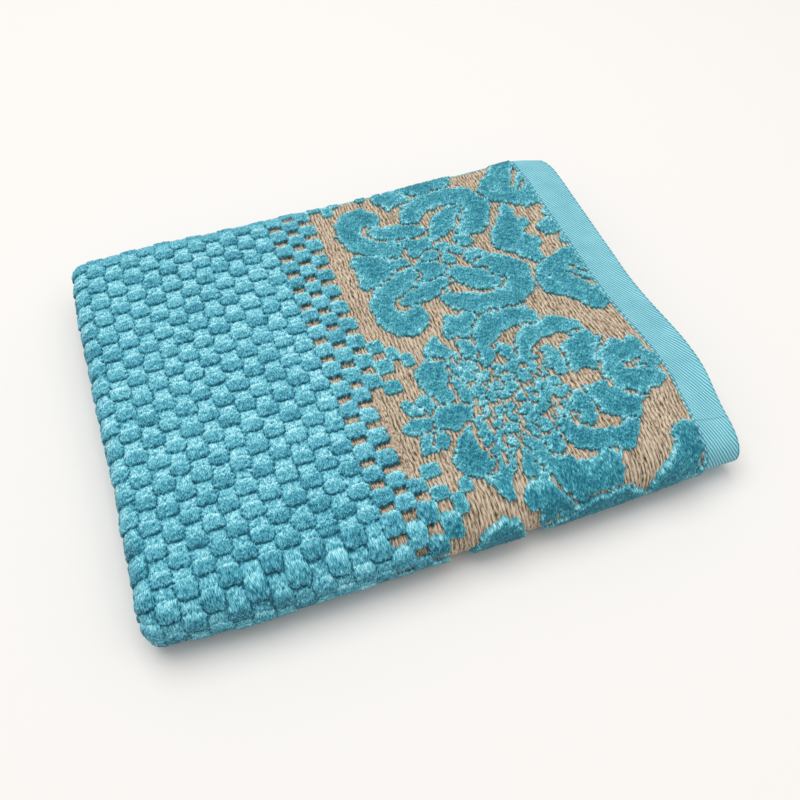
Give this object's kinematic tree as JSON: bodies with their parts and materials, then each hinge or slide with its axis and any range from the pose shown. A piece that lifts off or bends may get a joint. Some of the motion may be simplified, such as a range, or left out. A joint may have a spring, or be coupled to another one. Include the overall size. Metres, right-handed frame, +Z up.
{
  "type": "folded bath towel",
  "caption": "Folded terry towel with pillow-block pile, a velour scroll border on a woven ground and a twill end hem; opens about its front fold.",
  "frame": {"origin": "middle of the folded footprint, on the surface it lies on", "axes": "+X along the folded length towards the end hem, +Y from the front fold to the free long edges, +Z up through the stack"},
  "size_m": [0.32, 0.25, 0.0371],
  "materials": {
    "field_pile": "cut-pile blocks and loop pile, matt with a soft sheen",
    "border_ground": "flat weft-faced weave, streaky satin",
    "border_velour": "dense cut velour, soft sheen",
    "hem_twill": "flat diagonal twill, matt",
    "side_hem_weave": "narrow flat woven hem, matt",
    "sewing_thread": "twisted cotton thread, matt"
  },
  "bodies": {
    "lower_half": {"lower_inner_panel": "field_pile", "lower_left_fold": "field_pile", "lower_middle_border": "border_ground", "lower_middle_field": "field_pile", "lower_middle_hem": "hem_twill", "lower_middle_hem_seam": "sewing_thread", "lower_middle_velour": "border_velour", "lower_outer_border": "border_ground", "lower_outer_field": "field_pile", "lower_outer_hem": "hem_twill", "lower_outer_hem_seam": "sewing_thread", "lower_outer_velour": "border_velour", "lower_right_fold": "field_pile", "lower_side_hem": "side_hem_weave", "lower_side_seam": "sewing_thread", "bend_inner_panel": "field_pile", "bend_left_fold": "field_pile", "bend_middle_border": "border_ground", "bend_middle_field": "field_pile", "bend_middle_hem": "hem_twill", "bend_middle_hem_seam": "sewing_thread", "bend_middle_velour": "border_velour", "bend_outer_border": "border_ground", "bend_outer_field": "field_pile", "bend_outer_hem": "hem_twill", "bend_outer_hem_seam": "sewing_thread", "bend_outer_velour": "border_velour", "bend_right_fold": "field_pile"},
    "upper_half": {"upper_inner_panel": "field_pile", "upper_left_fold": "field_pile", "upper_middle_border": "border_ground", "upper_middle_field": "field_pile", "upper_middle_hem": "hem_twill", "upper_middle_hem_seam": "sewing_thread", "upper_middle_velour": "border_velour", "upper_outer_border": "border_ground", "upper_outer_field": "field_pile", "upper_outer_hem": "hem_twill", "upper_outer_hem_seam": "sewing_thread", "upper_outer_velour": "border_velour", "upper_right_fold": "field_pile", "upper_side_hem": "side_hem_weave", "upper_side_seam": "sewing_thread"}
  },
  "joints": [
    {"name": "open_fold", "type": "hinge", "parent": "lower_half", "child": "upper_half", "pos_m": [0, -0.10645, 0.01855], "axis": [1, 0, 0], "range_deg": [0, 180], "deforming": ["bend_inner_panel", "bend_left_fold", "bend_middle_border", "bend_middle_field", "bend_middle_hem", "bend_middle_hem_seam", "bend_middle_velour", "bend_outer_border", "bend_outer_field", "bend_outer_hem", "bend_outer_hem_seam", "bend_outer_velour", "bend_right_fold"]}
  ]
}
